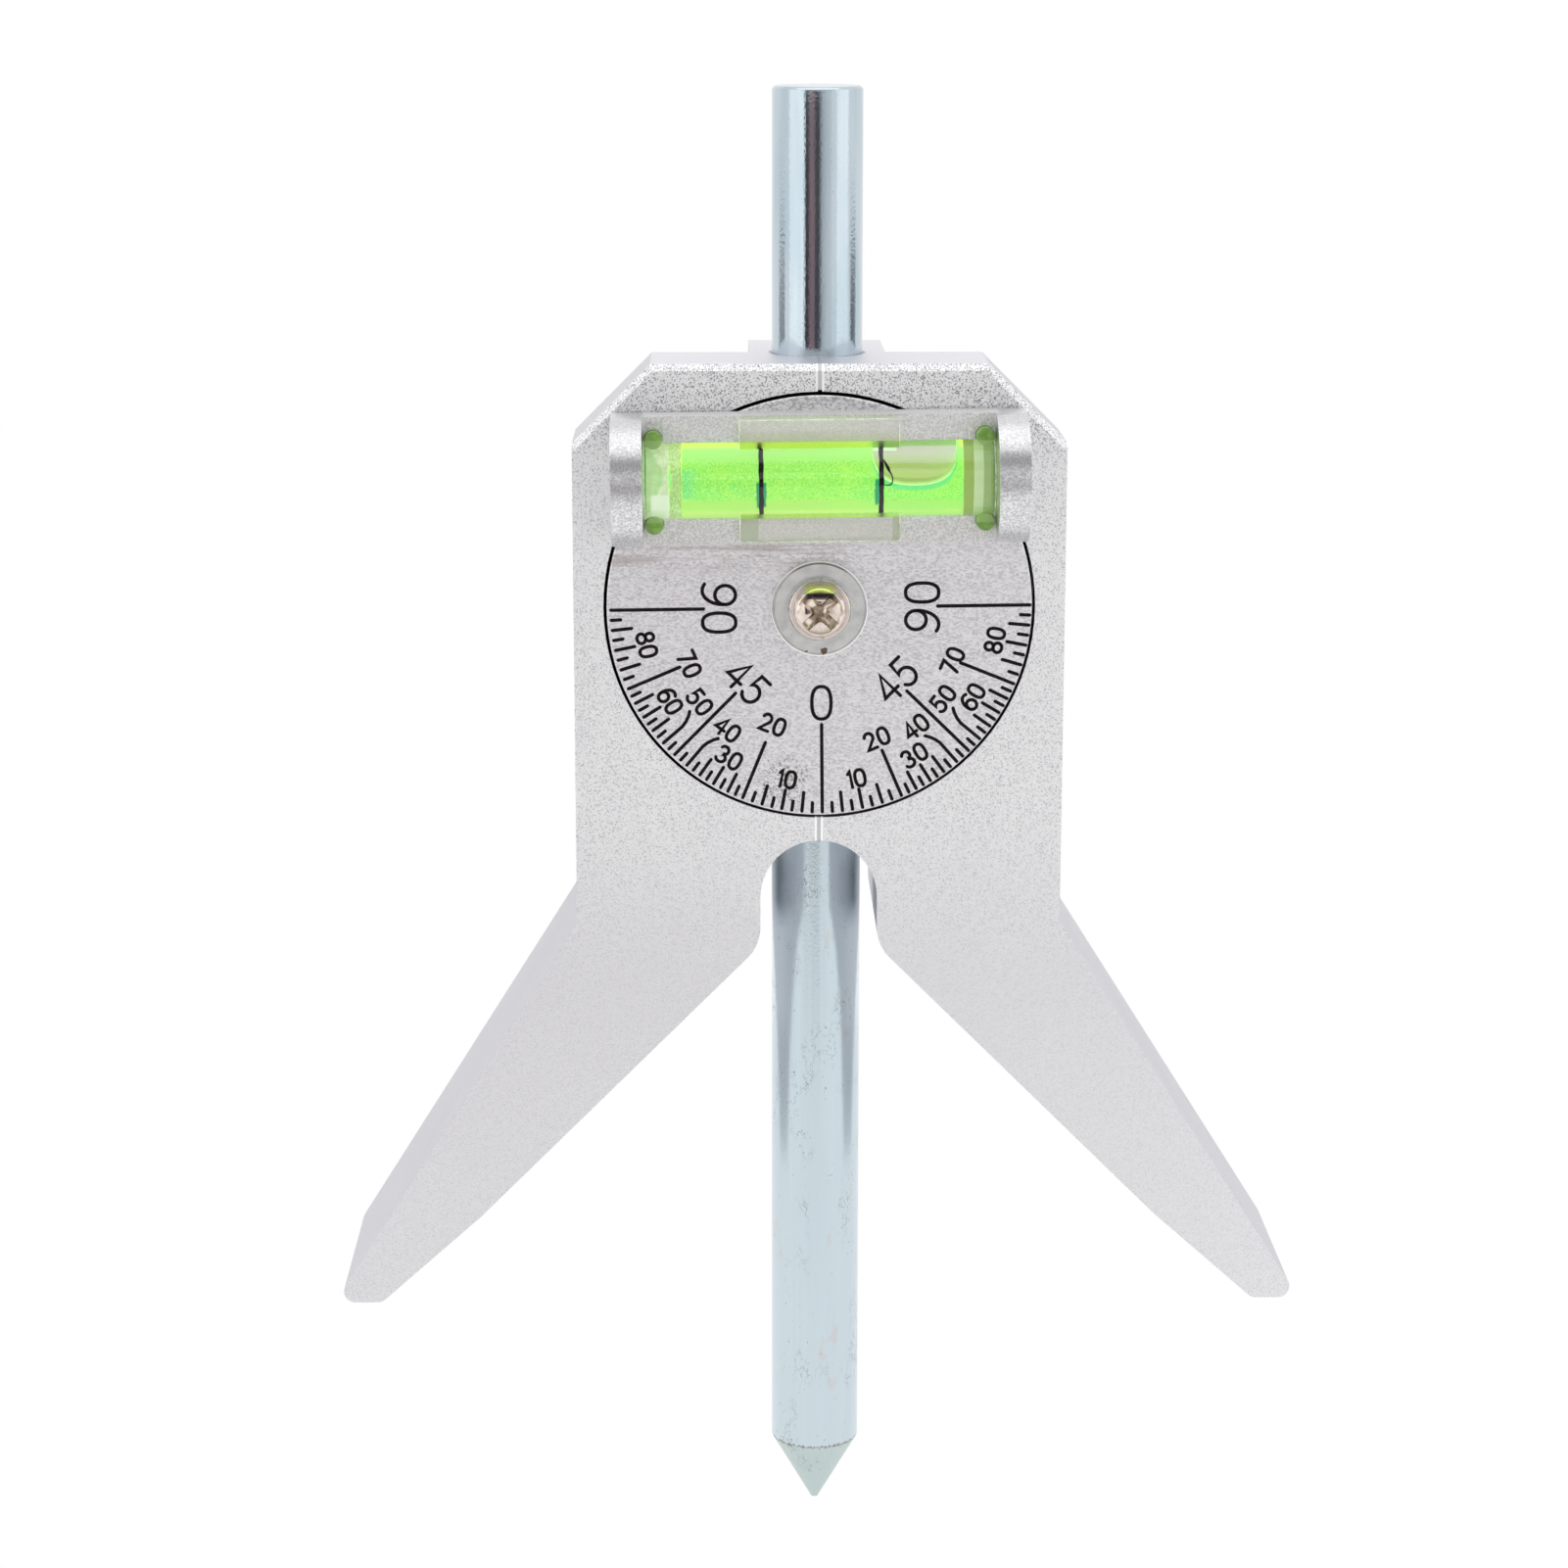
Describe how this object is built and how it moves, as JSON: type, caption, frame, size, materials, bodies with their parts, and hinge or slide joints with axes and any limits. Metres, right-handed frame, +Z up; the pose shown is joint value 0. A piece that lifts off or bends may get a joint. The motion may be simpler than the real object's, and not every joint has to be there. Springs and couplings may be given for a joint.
{
  "type": "pipe center finder",
  "caption": "Y-shaped centering head that straddles a pipe, with a turning dial and bubble level on its front and a sliding steel center punch",
  "frame": {"origin": "the point where the two inner 45 degree leg faces would meet, on the axis of the center punch", "axes": "+Z up along the punch towards its struck end, +X to the right seen from the dial side, the dial faces -Y"},
  "size_m": [0.107, 0.0363, 0.164],
  "materials": {
    "blasted_aluminium": "bead blasted and clear anodised, bright bevels",
    "dial_aluminium": "fine satin with faint brushed lines",
    "holder_aluminium": "satin, turned half-round ends",
    "black_enamel": "matt black infill",
    "clear_acrylic": "polished clear acrylic",
    "green_fluid": "fluorescent yellow-green level fluid",
    "green_acrylic": "olive green pins",
    "nickel": "nickel plated, slightly warm",
    "zinc_washer": "clear zinc plated",
    "plated_steel": "plain zinc plated",
    "zinc_steel": "pale blue zinc plated over drawn bar",
    "bright_steel": "polished",
    "black_steel": "black oxide",
    "nylon": "natural nylon"
  },
  "bodies": {
    "head": {"head": "blasted_aluminium", "center_screw": "nickel", "split_washer": "plated_steel", "flat_washer": "zinc_washer", "friction_washer": "nylon", "friction_ball": "bright_steel", "friction_spring": "bright_steel", "set_screw": "black_steel"},
    "dial": {"dial_plate": "dial_aluminium", "dial_scale": "black_enamel", "level_holder": "holder_aluminium", "holder_screws": "plated_steel", "vial_block": "clear_acrylic", "vial_plug": "clear_acrylic", "vial_fluid": "green_fluid", "vial_lines": "black_enamel", "vial_pins": "green_acrylic"},
    "punch": {"center_punch": "zinc_steel"}
  },
  "joints": [
    {"name": "dial_turn", "type": "hinge", "parent": "head", "child": "dial", "pos_m": [0, -0.0125, 0.0316], "axis": [0, -1, 0], "continuous": true},
    {"name": "punch_slide", "type": "slide", "parent": "head", "child": "punch", "axis": [0, 0, 1], "range_m": [-0.028, 0.065]}
  ]
}
